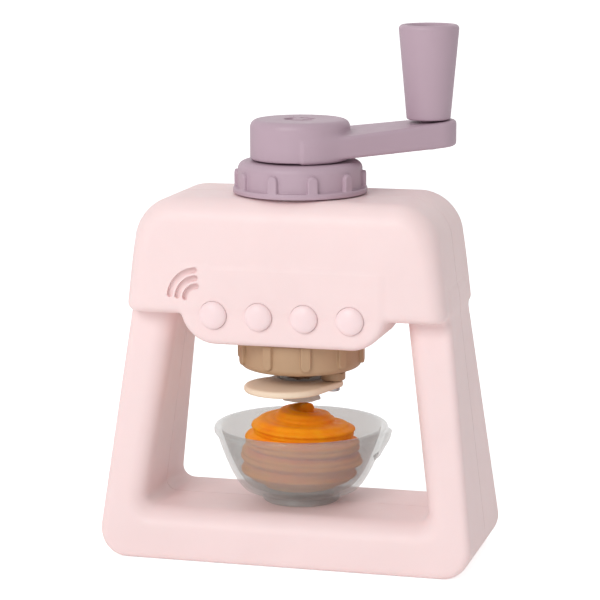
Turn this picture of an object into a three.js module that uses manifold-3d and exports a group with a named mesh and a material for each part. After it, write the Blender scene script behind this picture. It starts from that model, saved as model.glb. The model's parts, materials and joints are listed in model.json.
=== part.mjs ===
// Hand-cranked play-dough "ice cream" press: a pink A-frame housing with a barrel, a screw
// driven piston under a crank, a swinging nozzle plate and a clear bowl. Millimetres, +Z up,
// front towards -Y, origin on the ground under the barrel axis.
import * as THREE from "three";
import { mergeVertices } from "three/addons/utils/BufferGeometryUtils.js";
import Module from "manifold-3d";

const wasm = await Module();
wasm.setup();

// ---- driving dimensions -------------------------------------------------------------------
const GAP = 0.35; // clearance between neighbouring pieces
const WALL = 2.5; // moulded wall thickness of the housing

const BASE_HALF_WIDTH = 87.3;
const SIDE_TAPER = 0.1215; // the sides lean in by this much per mm of height
const BASE_BOTTOM = 0.8; // heights are drawn from here, then the whole toy is set on the ground
const BASE_TOP = 23.7;
const BASE_HALF_DEPTH = 37.4;
const DEPTH_TAPER = 0.138; // legs get thinner front to back towards the head
const BASE_CORNER_RADIUS = 14;
const WINDOW_HALF_WIDTH = 69.0; // at ground level, before its own taper
const WINDOW_TAPER = 0.1458;
const HEAD_BOTTOM = 113;
const HEAD_TOP = 164.5;
const HEAD_HALF_DEPTH = 33.3;
const HEAD_CORNER_RADIUS = 22;
const HEAD_EDGE_RADIUS = 11;

const LOBE_HALF_WIDTH = 46.7; // button panel hanging below the head
const LOBE_BOTTOM = 100;
const LOBE_CORNER_RADIUS = 16;
const PANEL_TOP = 128;

const BUTTON_COUNT = 4;
const BUTTON_PITCH = 20.7;
const BUTTON_Z = 113.5;
const BUTTON_RADIUS = 6.2;
const BUTTON_TRAVEL = 1.5;

const GROOVE_RADII = [6, 9.6, 13.2];
const GROOVE_WIDTH = 2.4;
const GROOVE_DEPTH = 1.2;
const GROOVE_CENTRE = [-38, 120.2];
const GROOVE_START = 96; // degrees, counted from +X towards +Z
const GROOVE_END = 172;

const BARREL_OUTER = 24.4;
const BARREL_INNER = 21.5;
const BARREL_BOTTOM = 89.6;
const BARREL_TOP = 172;
const COLLAR_RADIUS = 26; // lower collar, on the floor of the head
const UPPER_COLLAR_RADIUS = 26.6; // upper collar, under the roof of the head
const LUG_RADIUS = 25.8; // bayonet lugs that hold the two screw caps
const LUG_HEIGHT = 1.8;

const CAP_RADIUS = 27.6;
const CAP_RIB_RADIUS = 29.2;
const CAP_RIB_PHASE = 7.9; // degrees from +X to the first rib
const CAP_FLANGE_RADIUS = 30;
const CAP_BOTTOM = 165;
const CAP_TOP = 179.2;
const CAP_INNER = 26.3;
const RIB_COUNT = 10;
const RIB_WIDTH = 4.6;

const HUB_RADIUS = 22.3;
const HUB_BOTTOM = 180;
const HUB_TOP = 197.6;
const ARM_ANGLE = 30; // degrees from +X towards the back
const ARM_LENGTH = 59.9;
const ARM_END_RADIUS = 12.6;
const ARM_BOTTOM = 180.4;
const ARM_TOP = 189.8;
const ARM_RISE = 4.6; // degrees that the arm climbs towards the grip
const NECK_RADIUS = 8.6;

const GRIP_BOTTOM = 195.6;
const GRIP_TOP = 238.2;
const GRIP_BOTTOM_RADIUS = 9.9;
const GRIP_TOP_RADIUS = 13.8;

const SCREW_CORE = 4.8;
const THREAD_SIZE = 1.5; // half thickness of the rounded thread
const THREAD_PITCH = 8;
const THREAD_START = 101;
const NUT_CLEARANCE = 0.85; // the screw runs loosely in the piston's nut
const SCREW_TOP = 171.2;
const SCREW_BOTTOM = 98;
const PISTON_TOP = 156;
const PISTON_HEIGHT = 14;

const NOZZLE_CAP_TOP = 99.3;
const NOZZLE_CAP_BOTTOM = 85;
const NOZZLE_CAP_RADIUS = 27.6;
const NOZZLE_RIB_RADIUS = 29;
const NOZZLE_RIB_PHASE = 1.3;
const SEAT_BORE = 10;
const PIVOT = [16, -4];
const PLATE_BOTTOM = 77.6;
const PLATE_TOP = 80.6;
const PLATE_CENTRE = [-2.6, -17.3];
const PLATE_RADIUS = 18.6;
const SPOUT_BOTTOM = 70.4;

const BOWL_FLOOR = BASE_TOP + GAP;
const BOWL_RIM = 58.6;
const BOWL_RADIUS = 39.6;
const BOWL_FOOT_RADIUS = 19;
const BOWL_WALL = 2.2;
const DOUGH_TOP = 68.6;

const ROUND = 36; // segments round a large circle
const SMALL = 14; // segments round a small one

// ---- helpers ------------------------------------------------------------------------------
const rad = (degrees) => (degrees * Math.PI) / 180;

function solid(geometry) {
  const bare = geometry.clone();
  bare.deleteAttribute("normal");
  bare.deleteAttribute("uv");
  const merged = mergeVertices(bare, 1e-4);
  return new wasm.Manifold(new wasm.Mesh({
    numProp: 3,
    vertProperties: new Float32Array(merged.attributes.position.array),
    triVerts: new Uint32Array(merged.index.array),
  }));
}

function geometryOf(manifold) {
  const mesh = manifold.getMesh();
  const geometry = new THREE.BufferGeometry();
  geometry.setAttribute("position", new THREE.BufferAttribute(mesh.vertProperties, 3));
  geometry.setIndex(new THREE.BufferAttribute(mesh.triVerts, 1));
  geometry.computeVertexNormals();
  return geometry;
}

// A solid of revolution about Z from [radius, z] points that start and end on the axis, or
// a closed ring when `closed` is set.
function turned(points, segments = ROUND, closed = false) {
  const profile = points.map(([r, z]) => new THREE.Vector2(r, z));
  if (closed) profile.push(profile[0].clone());
  const lathe = new THREE.LatheGeometry(profile, segments);
  lathe.rotateX(Math.PI / 2);
  const body = solid(lathe);
  return body.volume() < 0 ? flipped(lathe) : body;
}

function flipped(geometry) {
  const index = geometry.index.array;
  for (let i = 0; i < index.length; i += 3) {
    [index[i + 1], index[i + 2]] = [index[i + 2], index[i + 1]];
  }
  return solid(geometry);
}

const disc = (radius, z0, z1, segments = ROUND) =>
  turned([[0, z0], [radius, z0], [radius, z1], [0, z1]], segments);

const ring = (inner, outer, z0, z1, segments = ROUND) =>
  turned([[inner, z0], [outer, z0], [outer, z1], [inner, z1]], segments, true);

// Outline with rounded corners from [x, y, radius] points, given anticlockwise.
function outline(points, steps = 5) {
  const result = [];
  points.forEach(([x, y, radius = 0], i) => {
    const here = new THREE.Vector2(x, y);
    const before = points[(i + points.length - 1) % points.length];
    const after = points[(i + 1) % points.length];
    const back = new THREE.Vector2(before[0] - x, before[1] - y).normalize();
    const ahead = new THREE.Vector2(after[0] - x, after[1] - y).normalize();
    if (radius === 0) {
      result.push(here);
      return;
    }
    const half = Math.acos(THREE.MathUtils.clamp(back.dot(ahead), -1, 1)) / 2;
    const along = radius / Math.tan(half);
    const start = here.clone().addScaledVector(back, along);
    const end = here.clone().addScaledVector(ahead, along);
    const middle = back.clone().add(ahead).normalize();
    const centre = here.clone().addScaledVector(middle, radius / Math.sin(half));
    const from = Math.atan2(start.y - centre.y, start.x - centre.x);
    let sweep = Math.atan2(end.y - centre.y, end.x - centre.x) - from;
    if (sweep > Math.PI) sweep -= 2 * Math.PI;
    if (sweep < -Math.PI) sweep += 2 * Math.PI;
    for (let k = 0; k <= steps; k += 1) {
      const angle = from + (sweep * k) / steps;
      result.push(new THREE.Vector2(
        centre.x + radius * Math.cos(angle),
        centre.y + radius * Math.sin(angle),
      ));
    }
  });
  return new THREE.Shape(result);
}

const extruded = (shape, depth) =>
  new THREE.ExtrudeGeometry(shape, { depth, bevelEnabled: false, curveSegments: 12 });

// Prism of an XY outline between two heights.
const prism = (shape, z0, z1) => solid(extruded(shape, z1 - z0).translate(0, 0, z0));

// Prism of an XZ outline, running from y0 forwards or backwards to y1 (y0 < y1).
const slab = (shape, y0, y1) =>
  solid(extruded(shape, y1 - y0).rotateX(Math.PI / 2).translate(0, y1, 0));

// Prism of a YZ outline that runs across the whole width.
function sideways(shape, halfWidth) {
  const basis = new THREE.Matrix4().makeBasis(
    new THREE.Vector3(0, 1, 0),
    new THREE.Vector3(0, 0, 1),
    new THREE.Vector3(1, 0, 0),
  );
  return solid(extruded(shape, 2 * halfWidth).translate(0, 0, -halfWidth).applyMatrix4(basis));
}

// A rod along Y between y0 and y1.
function rod(radius, y0, y1, x, z, segments = SMALL) {
  const shape = new THREE.Shape();
  const points = [];
  for (let k = 0; k < segments; k += 1) {
    const angle = (2 * Math.PI * k) / segments;
    points.push(new THREE.Vector2(x + radius * Math.cos(angle), z + radius * Math.sin(angle)));
  }
  shape.setFromPoints(points);
  return slab(shape, y0, y1);
}

// Part of a flat ring between two angles in degrees.
function sector(inner, outer, start, end, centre = [0, 0], steps = 8) {
  const points = [];
  for (let k = 0; k <= steps; k += 1) {
    const angle = rad(start + ((end - start) * k) / steps);
    points.push([centre[0] + outer * Math.cos(angle), centre[1] + outer * Math.sin(angle)]);
  }
  for (let k = steps; k >= 0; k -= 1) {
    const angle = rad(start + ((end - start) * k) / steps);
    points.push([centre[0] + inner * Math.cos(angle), centre[1] + inner * Math.sin(angle)]);
  }
  return new THREE.Shape(points.map(([x, y]) => new THREE.Vector2(x, y)));
}

const join = (bodies) => bodies.reduce((sum, body) => sum.add(body));

// ---- colours ------------------------------------------------------------------------------
const colours = {
  pink: ["#f3d9da", 0.45],
  button: ["#f7dfe0", 0.4],
  mauve: ["#b79db0", 0.45],
  tan: ["#a98262", 0.5],
  cream: ["#dfc3a6", 0.45],
  spout: ["#b7aa9b", 0.4],
  barrel: ["#e6d9cf", 0.4],
  rubber: ["#cfc4bf", 0.85],
  steel: ["#b8babd", 0.3],
  clear: ["#b9bcb8", 0.1],
  dough: ["#f39a28", 0.7],
};

const model = new THREE.Group();

function addPart(name, body, colour, place = [0, 0, 0]) {
  const [hex, roughness] = colours[colour];
  const material = new THREE.MeshStandardMaterial({
    color: hex,
    roughness,
    metalness: colour === "steel" ? 0.9 : 0,
  });
  const mesh = new THREE.Mesh(geometryOf(body), material);
  mesh.name = name;
  mesh.position.set(...place);
  model.add(mesh);
}

// ---- housing ------------------------------------------------------------------------------
const outerHalf = (z, inset) => BASE_HALF_WIDTH - SIDE_TAPER * z - inset;
const windowHalf = (z, inset) => WINDOW_HALF_WIDTH - WINDOW_TAPER * z + inset;
const legHalfDepth = (z, inset) => BASE_HALF_DEPTH - DEPTH_TAPER * z - inset;

// Front view of the ring: leaning sides, round corners, one window. `inset` shrinks the
// plastic from every side, which gives the hollow inside the shells.
function frameOutline(inset) {
  const bottom = BASE_BOTTOM + inset;
  const top = HEAD_TOP - inset;
  const low = outerHalf(bottom, inset);
  const high = outerHalf(top, inset);
  const shape = outline([
    [-low, bottom, BASE_CORNER_RADIUS - inset],
    [low, bottom, BASE_CORNER_RADIUS - inset],
    [high, top, HEAD_CORNER_RADIUS - inset],
    [-high, top, HEAD_CORNER_RADIUS - inset],
  ], 6);
  const sill = BASE_TOP - inset;
  const lintel = HEAD_BOTTOM + inset;
  const wide = windowHalf(sill, inset);
  const narrow = windowHalf(lintel, inset);
  shape.holes.push(outline([
    [-wide, sill, 6],
    [wide, sill, 6],
    [narrow, lintel, 3],
    [-narrow, lintel, 3],
  ]));
  return shape;
}

// Side view of the ring and its overhanging head, from front to back.
function sideOutline(inset) {
  const bottom = BASE_BOTTOM + inset;
  const foot = legHalfDepth(bottom, inset);
  const knee = legHalfDepth(HEAD_BOTTOM + inset, inset);
  const head = HEAD_HALF_DEPTH - inset;
  const low = HEAD_BOTTOM + inset;
  const top = HEAD_TOP - inset;
  const edge = HEAD_EDGE_RADIUS - inset;
  return outline([
    [-foot, bottom, 3.5],
    [foot, bottom, 3.5],
    [knee, low, 0],
    [head, low, 1.5],
    [head, top, edge],
    [-head, top, edge],
    [-head, low, 1.5],
    [-knee, low, 0],
  ]);
}

function lobeOutline(inset) {
  const half = LOBE_HALF_WIDTH - inset;
  const corner = LOBE_CORNER_RADIUS - inset;
  return outline([
    [-half, LOBE_BOTTOM + inset, corner],
    [half, LOBE_BOTTOM + inset, corner],
    [half, PANEL_TOP, 0],
    [-half, PANEL_TOP, 0],
  ], 6);
}

const WIDE = 100; // half width of cutting blocks, wider than the object
const halfSpace = (front) => {
  const shape = outline([[-WIDE, -WIDE], [WIDE, -WIDE], [WIDE, 2 * WIDE], [-WIDE, 2 * WIDE]]);
  return front ? slab(shape, -WIDE, -GAP / 2) : slab(shape, GAP / 2, WIDE);
};

const ringBody = (inset) =>
  slab(frameOutline(inset), -WIDE, WIDE).intersect(sideways(sideOutline(inset), WIDE));

// Case screws: two in the head, two in the legs, two in the base.
const screwPlaces = [
  [-46, 146],
  [46, 146],
  [-70, 70],
  [70, 70],
  [-45, 12.2],
  [45, 12.2],
];
const BOSS_RADIUS = 4.2;
const PILOT_RADIUS = 1.4;
const HEAD_POCKET = 3.9;
const HEAD_DEPTH = 8; // how deep the screw heads sit below the back face

const backFaceAt = (z) => (z > HEAD_BOTTOM ? HEAD_HALF_DEPTH : legHalfDepth(z, 0));

// Room for the barrel's upper collar in the rounded inside corners of the head.
const collarRelief = () =>
  ring(BARREL_OUTER, UPPER_COLLAR_RADIUS + 0.5, HEAD_TOP - WALL - 3.2, HEAD_TOP - WALL);

function makeFrontShell() {
  const outer = ringBody(0).add(slab(lobeOutline(0), -HEAD_HALF_DEPTH, -GAP / 2));
  const lobeHollow = slab(lobeOutline(WALL), -HEAD_HALF_DEPTH + WALL, -WALL - GAP / 2);
  const hollow = ringBody(WALL).add(lobeHollow);
  let shell = outer.subtract(hollow);
  for (const [x, z] of screwPlaces) {
    const reach = backFaceAt(z) - 1;
    shell = shell.add(rod(BOSS_RADIUS, -reach, -GAP / 2, x, z));
  }
  shell = shell.intersect(halfSpace(true));
  const cuts = screwPlaces.map(([x, z]) => rod(PILOT_RADIUS, -11, 1, x, z, 12));
  for (let i = 0; i < BUTTON_COUNT; i += 1) {
    const x = (i - (BUTTON_COUNT - 1) / 2) * BUTTON_PITCH;
    cuts.push(rod(BUTTON_RADIUS + GAP, -WIDE, -HEAD_HALF_DEPTH + WALL + 0.5, x, BUTTON_Z, 20));
  }
  cuts.push(disc(BARREL_OUTER + 0.7, LOBE_BOTTOM - 1, HEAD_TOP + 1));
  cuts.push(collarRelief());
  for (const radius of GROOVE_RADII) {
    const inner = radius - GROOVE_WIDTH / 2;
    const outerEdge = radius + GROOVE_WIDTH / 2;
    const shape = sector(inner, outerEdge, GROOVE_START, GROOVE_END, GROOVE_CENTRE);
    cuts.push(slab(shape, -WIDE, -HEAD_HALF_DEPTH + GROOVE_DEPTH));
  }
  return shell.subtract(join(cuts));
}

function makeRearShell() {
  let shell = ringBody(0).subtract(ringBody(WALL));
  for (const [x, z] of screwPlaces) {
    shell = shell.add(rod(BOSS_RADIUS + 1.4, GAP / 2, backFaceAt(z) - 1, x, z));
  }
  shell = shell.intersect(halfSpace(false));
  const cuts = [];
  for (const [x, z] of screwPlaces) {
    cuts.push(rod(PILOT_RADIUS + GAP + 0.4, -1, WIDE, x, z, 12));
    cuts.push(rod(HEAD_POCKET, backFaceAt(z) - HEAD_DEPTH, WIDE, x, z));
  }
  cuts.push(disc(BARREL_OUTER + 0.7, HEAD_BOTTOM - 1, HEAD_TOP + 1));
  cuts.push(collarRelief());
  return shell.subtract(join(cuts));
}

function makeCaseScrew(x, z) {
  const seat = backFaceAt(z) - HEAD_DEPTH + GAP;
  const head = rod(3.2, seat, seat + 2.4, x, z, 16);
  const shank = rod(PILOT_RADIUS - 0.3, -9.5, seat + 0.5, x, z, 10);
  const slot = outline([[x - 2, z - 0.5], [x + 2, z - 0.5], [x + 2, z + 0.5], [x - 2, z + 0.5]]);
  const cross = outline([[x - 0.5, z - 2], [x + 0.5, z - 2], [x + 0.5, z + 2], [x - 0.5, z + 2]]);
  const recess = slab(slot, seat + 1.4, seat + 4).add(slab(cross, seat + 1.4, seat + 4));
  return head.add(shank).subtract(recess);
}

addPart("front_shell", makeFrontShell(), "pink");
addPart("rear_shell", makeRearShell(), "pink");
screwPlaces.forEach(([x, z], i) => {
  addPart(`case_screw_${i + 1}`, makeCaseScrew(x, z), "steel");
});

// ---- buttons ------------------------------------------------------------------------------
const BUTTON_FACE = -HEAD_HALF_DEPTH; // the panel's outer face
const DOME_HEIGHT = 3.4;
const FLANGE_THICKNESS = 1.1;

// Turned about Z, then laid down so that the dome looks towards -Y.
function makeButton() {
  const inside = WALL + GAP; // depth of the flange behind the panel face
  const profile = [[0, -inside - FLANGE_THICKNESS], [BUTTON_RADIUS + 1.1, -inside - FLANGE_THICKNESS]];
  profile.push([BUTTON_RADIUS + 1.1, -inside]);
  profile.push([BUTTON_RADIUS, -inside]);
  profile.push([BUTTON_RADIUS, DOME_HEIGHT - 1.9]);
  for (let k = 1; k <= 3; k += 1) {
    const angle = rad(k * 25);
    profile.push([
      BUTTON_RADIUS - 1.6 * (1 - Math.cos(angle)) - 0.42 * k,
      DOME_HEIGHT - 1.9 + 1.5 * Math.sin(angle),
    ]);
  }
  profile.push([0, DOME_HEIGHT]);
  return turned(profile, 20).rotate([90, 0, 0]);
}

for (let i = 0; i < BUTTON_COUNT; i += 1) {
  const x = (i - (BUTTON_COUNT - 1) / 2) * BUTTON_PITCH;
  addPart(`button_${i + 1}`, makeButton(), "button", [x, BUTTON_FACE, BUTTON_Z]);
}

// Silicone return mat behind the buttons: a strip on the panel's inside with a raised
// dome for each button.
function makeButtonMat() {
  const back = BUTTON_FACE + WALL + GAP + FLANGE_THICKNESS + BUTTON_TRAVEL + GAP;
  const half = 1.5 * BUTTON_PITCH + 7;
  const strip = outline([
    [-half, BUTTON_Z - 5.5, 3],
    [half, BUTTON_Z - 5.5, 3],
    [half, BUTTON_Z + 5.5, 3],
    [-half, BUTTON_Z + 5.5, 3],
  ]);
  return slab(strip, back, back + 1);
}
addPart("button_mat", makeButtonMat(), "rubber");

// ---- barrel -------------------------------------------------------------------------------
function makeBarrel() {
  const low = HEAD_BOTTOM + WALL + GAP;
  const high = HEAD_TOP - WALL - GAP;
  const tube = turned([
    [BARREL_INNER, BARREL_BOTTOM],
    [BARREL_OUTER, BARREL_BOTTOM],
    [BARREL_OUTER, low],
    [COLLAR_RADIUS, low],
    [COLLAR_RADIUS, low + 2],
    [BARREL_OUTER, low + 2],
    [BARREL_OUTER, high - 2],
    [UPPER_COLLAR_RADIUS, high - 2],
    [UPPER_COLLAR_RADIUS, high],
    [BARREL_OUTER, high],
    [BARREL_OUTER, BARREL_TOP],
    [BARREL_INNER, BARREL_TOP],
  ], ROUND, true);
  const lugs = [];
  for (let k = 0; k < 3; k += 1) {
    const start = 120 * k;
    const shape = sector(BARREL_OUTER - 0.6, LUG_RADIUS, start, start + 40);
    lugs.push(prism(shape, 94, 94 + LUG_HEIGHT));
    lugs.push(prism(shape, 168.4, 168.4 + LUG_HEIGHT));
  }
  return join([tube, ...lugs]);
}
addPart("extrusion_barrel", makeBarrel(), "barrel");

// Grip ribs round a cap: rounded bars that start on its wall.
function ribs(wall, tip, z0, z1, phase) {
  const bars = [];
  for (let k = 0; k < RIB_COUNT; k += 1) {
    const half = RIB_WIDTH / 2;
    const bar = outline([
      [wall - 1, -half],
      [tip, -half, 0.8],
      [tip, half, 0.8],
      [wall - 1, half],
    ], 2);
    bars.push(prism(bar, z0, z1).rotate([0, 0, phase + (360 / RIB_COUNT) * k]));
  }
  return join(bars);
}

// ---- crank drive --------------------------------------------------------------------------
function makeTopCap() {
  const roof = CAP_TOP - 3;
  const shell = turned([
    [CAP_INNER, CAP_BOTTOM],
    [CAP_FLANGE_RADIUS, CAP_BOTTOM],
    [CAP_FLANGE_RADIUS, CAP_BOTTOM + 2.6],
    [CAP_RADIUS, CAP_BOTTOM + 2.6],
    [CAP_RADIUS, CAP_TOP - 4],
    [CAP_RADIUS - 1.2, CAP_TOP - 1.2],
    [CAP_RADIUS - 4, CAP_TOP],
    [NECK_RADIUS + GAP, CAP_TOP],
    [NECK_RADIUS + GAP, roof],
    [CAP_INNER, roof],
  ], ROUND, true);
  return shell.add(ribs(CAP_RADIUS, CAP_RIB_RADIUS, CAP_BOTTOM + 2, CAP_TOP - 4.2, CAP_RIB_PHASE));
}
addPart("top_cap", makeTopCap(), "mauve");
addPart("cap_seal", ring(BARREL_INNER + 0.4, 25.6, BARREL_TOP + GAP, CAP_TOP - 3 - GAP), "rubber");

const WASHER_TOP = CAP_TOP - 3 - GAP;
addPart("thrust_washer", ring(NECK_RADIUS + GAP, 14, WASHER_TOP - 1.2, WASHER_TOP, 24), "barrel");
const CLIP_TOP = WASHER_TOP - 1.2 - GAP;
addPart("retaining_ring", ring(NECK_RADIUS - 0.8, 12, CLIP_TOP - 1.1, CLIP_TOP, 24), "steel");

const armDirection = [Math.cos(rad(ARM_ANGLE)), Math.sin(rad(ARM_ANGLE))];
const GRIP_AXIS = armDirection.map((part) => part * ARM_LENGTH);

// Outline of the arm seen from above, in its own frame with the hub at the origin: two
// arcs and their common tangents.
function armOutline() {
  const lean = Math.acos((HUB_RADIUS - ARM_END_RADIUS) / ARM_LENGTH);
  const points = [];
  const steps = 14;
  for (let k = 0; k <= steps; k += 1) {
    const angle = lean + ((2 * Math.PI - 2 * lean) * k) / steps;
    points.push([HUB_RADIUS * Math.cos(angle), HUB_RADIUS * Math.sin(angle)]);
  }
  for (let k = 0; k <= steps; k += 1) {
    const angle = -lean + (2 * lean * k) / steps;
    points.push([
      ARM_LENGTH + ARM_END_RADIUS * Math.cos(angle),
      ARM_END_RADIUS * Math.sin(angle),
    ]);
  }
  return new THREE.Shape(points.map(([x, y]) => new THREE.Vector2(x, y)));
}

const AXLE_RADIUS = 3;
const armUnderside = ARM_BOTTOM + ARM_LENGTH * Math.tan(rad(ARM_RISE)); // below the grip

function makeCrank() {
  const hub = turned([
    [0, HUB_BOTTOM],
    [HUB_RADIUS - 0.5, HUB_BOTTOM],
    [HUB_RADIUS, HUB_BOTTOM + 0.5],
    [HUB_RADIUS, HUB_TOP - 3],
    [HUB_RADIUS - 0.9, HUB_TOP - 0.9],
    [HUB_RADIUS - 3, HUB_TOP],
    [0, HUB_TOP],
  ]);
  const flat = extruded(armOutline(), ARM_TOP - ARM_BOTTOM);
  flat.rotateY(-rad(ARM_RISE)).translate(0, 0, ARM_BOTTOM);
  const arm = solid(flat).rotate([0, 0, ARM_ANGLE]);
  const below = disc(HUB_RADIUS + 8, HUB_BOTTOM - 12, HUB_BOTTOM + 0.05);
  const neck = turned([
    [0, CLIP_TOP - 3],
    [NECK_RADIUS, CLIP_TOP - 3],
    [NECK_RADIUS, CLIP_TOP - 1.1 - GAP],
    [NECK_RADIUS - 1.2, CLIP_TOP - 1.1 - GAP],
    [NECK_RADIUS - 1.2, CLIP_TOP + GAP],
    [NECK_RADIUS, CLIP_TOP + GAP],
    [NECK_RADIUS, HUB_BOTTOM + 1],
    [0, HUB_BOTTOM + 1],
  ], 24);
  let crank = hub.add(arm).subtract(below).add(neck);
  for (let k = 0; k < 3; k += 1) {
    const start = 120 * k + 20;
    crank = crank.subtract(prism(sector(3.4, 5.8, start, start + 70), HUB_TOP - 3.5, HUB_TOP + 1));
  }
  const spigotHole = disc(4.2 + GAP, SCREW_TOP - 4, SCREW_TOP + 10, 6);
  const axleHole = disc(AXLE_RADIUS + GAP, HUB_BOTTOM - 2, HUB_TOP + 4, SMALL);
  return crank.subtract(spigotHole).subtract(axleHole.translate([...GRIP_AXIS, 0]));
}
addPart("crank_arm", makeCrank(), "mauve");

// Spinning handle: a tapered cup, open at the top, on a headed axle.
function makeGrip() {
  return turned([
    [AXLE_RADIUS + GAP, GRIP_BOTTOM],
    [GRIP_BOTTOM_RADIUS - 0.8, GRIP_BOTTOM],
    [GRIP_BOTTOM_RADIUS, GRIP_BOTTOM + 0.8],
    [GRIP_TOP_RADIUS, GRIP_TOP - 3],
    [GRIP_TOP_RADIUS - 0.7, GRIP_TOP - 0.8],
    [GRIP_TOP_RADIUS - 2.2, GRIP_TOP],
    [GRIP_TOP_RADIUS - 3.8, GRIP_TOP - 1.2],
    [GRIP_TOP_RADIUS - 4.4, GRIP_TOP - 6],
    [GRIP_BOTTOM_RADIUS - 2.6, GRIP_BOTTOM + 12],
    [AXLE_RADIUS + GAP, GRIP_BOTTOM + 12],
  ], 28, true);
}
addPart("crank_grip", makeGrip(), "mauve", [...GRIP_AXIS, 0]);

function makeGripAxle() {
  const under = armUnderside - 2.2; // lowest point of the screw head
  return turned([
    [0, under],
    [3.6, under],
    [3.9, under + 0.6],
    [3.9, under + 1.5],
    [AXLE_RADIUS, under + 1.5],
    [AXLE_RADIUS, GRIP_BOTTOM + 12 + GAP],
    [5.2, GRIP_BOTTOM + 12 + GAP],
    [5.2, GRIP_BOTTOM + 13.6],
    [4.2, GRIP_BOTTOM + 14.4],
    [0, GRIP_BOTTOM + 14.4],
  ], SMALL);
}
addPart("grip_axle", makeGripAxle(), "mauve", [...GRIP_AXIS, 0]);

// Helical path of the left-handed screw thread, so that turning the crank clockwise
// drives the piston down and keeps the top cap tight.
class Helix extends THREE.Curve {
  constructor(radius, z0, z1) {
    super();
    this.radius = radius;
    this.z0 = z0;
    this.z1 = z1;
  }

  getPoint(t, target = new THREE.Vector3()) {
    const z = this.z0 + (this.z1 - this.z0) * t;
    const angle = (-2 * Math.PI * (z - SCREW_BOTTOM)) / THREAD_PITCH;
    return target.set(this.radius * Math.cos(angle), this.radius * Math.sin(angle), z);
  }
}

const STEPS_PER_TURN = 10;
function threadBody(size, z0, turns) {
  const points = [];
  for (let k = 0; k < 5; k += 1) {
    const angle = (2 * Math.PI * k) / 5;
    points.push(new THREE.Vector2(size * Math.cos(angle), size * Math.sin(angle)));
  }
  const steps = Math.round(turns * STEPS_PER_TURN);
  const path = new Helix(SCREW_CORE, z0, z0 + turns * THREAD_PITCH);
  return solid(new THREE.ExtrudeGeometry(new THREE.Shape(points), { steps, extrudePath: path }));
}

function makeLeadScrew() {
  const core = turned([
    [0, SCREW_BOTTOM],
    [SCREW_CORE - 1.5, SCREW_BOTTOM],
    [SCREW_CORE, SCREW_BOTTOM + 1.5],
    [SCREW_CORE, SCREW_TOP - 1],
    [0, SCREW_TOP - 1],
  ], STEPS_PER_TURN);
  const collar = disc(7.4, CLIP_TOP - 3 - GAP - 2, CLIP_TOP - 3 - GAP, SMALL);
  const spigot = disc(4.2, SCREW_TOP - 4, SCREW_TOP + 9, 6);
  const thread = threadBody(THREAD_SIZE, THREAD_START, 8.4);
  return join([core, collar, spigot, thread]);
}
addPart("lead_screw", makeLeadScrew(), "cream");

// Piston with a nut of its own and a seal groove; the seal's grip on the barrel stops it
// turning with the screw.
const SEAL_Z = PISTON_TOP - PISTON_HEIGHT + 3;
function makePiston() {
  const bottom = PISTON_TOP - PISTON_HEIGHT;
  const outer = BARREL_INNER - GAP;
  const body = turned([
    [0, bottom],
    [outer - 1.5, bottom],
    [outer, bottom + 1.5],
    [outer, SEAL_Z],
    [outer - 2.2, SEAL_Z],
    [outer - 2.2, SEAL_Z + 2.6],
    [outer, SEAL_Z + 2.6],
    [outer, PISTON_TOP],
    [outer - 2.5, PISTON_TOP],
    [outer - 4, bottom + 8],
    [SCREW_CORE + 5, bottom + 8],
    [SCREW_CORE + 5, PISTON_TOP],
    [0, PISTON_TOP],
  ]);
  const bore = disc(SCREW_CORE + NUT_CLEARANCE, bottom - 1, PISTON_TOP + 1, STEPS_PER_TURN);
  const groove = threadBody(THREAD_SIZE + NUT_CLEARANCE, THREAD_START + 4 * THREAD_PITCH, 4);
  return body.subtract(bore).subtract(groove);
}
addPart("piston", makePiston(), "cream");
const SEAL_INNER = BARREL_INNER - GAP - 2.2 + 0.2;
addPart("piston_seal", ring(SEAL_INNER, BARREL_INNER - 0.15, SEAL_Z + 0.3, SEAL_Z + 2.3), "rubber");

// ---- nozzle end ---------------------------------------------------------------------------
function makeNozzleCap() {
  const lip = NOZZLE_CAP_BOTTOM + 1.6;
  const shell = turned([
    [22.2, NOZZLE_CAP_BOTTOM],
    [NOZZLE_CAP_RADIUS - 4, NOZZLE_CAP_BOTTOM],
    [NOZZLE_CAP_RADIUS - 1.2, NOZZLE_CAP_BOTTOM + 1.2],
    [NOZZLE_CAP_RADIUS, NOZZLE_CAP_BOTTOM + 4],
    [NOZZLE_CAP_RADIUS, NOZZLE_CAP_TOP],
    [CAP_INNER, NOZZLE_CAP_TOP],
    [CAP_INNER, lip],
    [22.2, lip],
  ], ROUND, true);
  const ribFoot = NOZZLE_CAP_BOTTOM + 4;
  return shell.add(ribs(NOZZLE_CAP_RADIUS, NOZZLE_RIB_RADIUS, ribFoot, NOZZLE_CAP_TOP, NOZZLE_RIB_PHASE));
}
addPart("nozzle_cap", makeNozzleCap(), "tan");

const SEAT_BOTTOM = 82;
function makeNozzleSeat() {
  const flange = NOZZLE_CAP_BOTTOM + 1.6 + GAP;
  const body = turned([
    [SEAT_BORE, SEAT_BOTTOM],
    [17, SEAT_BOTTOM],
    [17, NOZZLE_CAP_BOTTOM + 0.5],
    [21.8, NOZZLE_CAP_BOTTOM + 0.5],
    [21.8, flange],
    [25, flange],
    [25, flange + 1.2],
    [SEAT_BORE, flange + 1.2],
  ], ROUND, true);
  const lug = disc(5.6, PLATE_TOP + GAP, NOZZLE_CAP_BOTTOM - GAP, 18).translate([...PIVOT, 0]);
  const pilot = disc(1.5, PLATE_TOP - 1, PLATE_TOP + 4.2, 12).translate([...PIVOT, 0]);
  return body.add(lug).subtract(pilot);
}
addPart("nozzle_seat", makeNozzleSeat(), "tan");
addPart("nozzle_gasket", ring(BARREL_INNER, 24.8, 88.5, BARREL_BOTTOM - GAP), "rubber");

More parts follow.
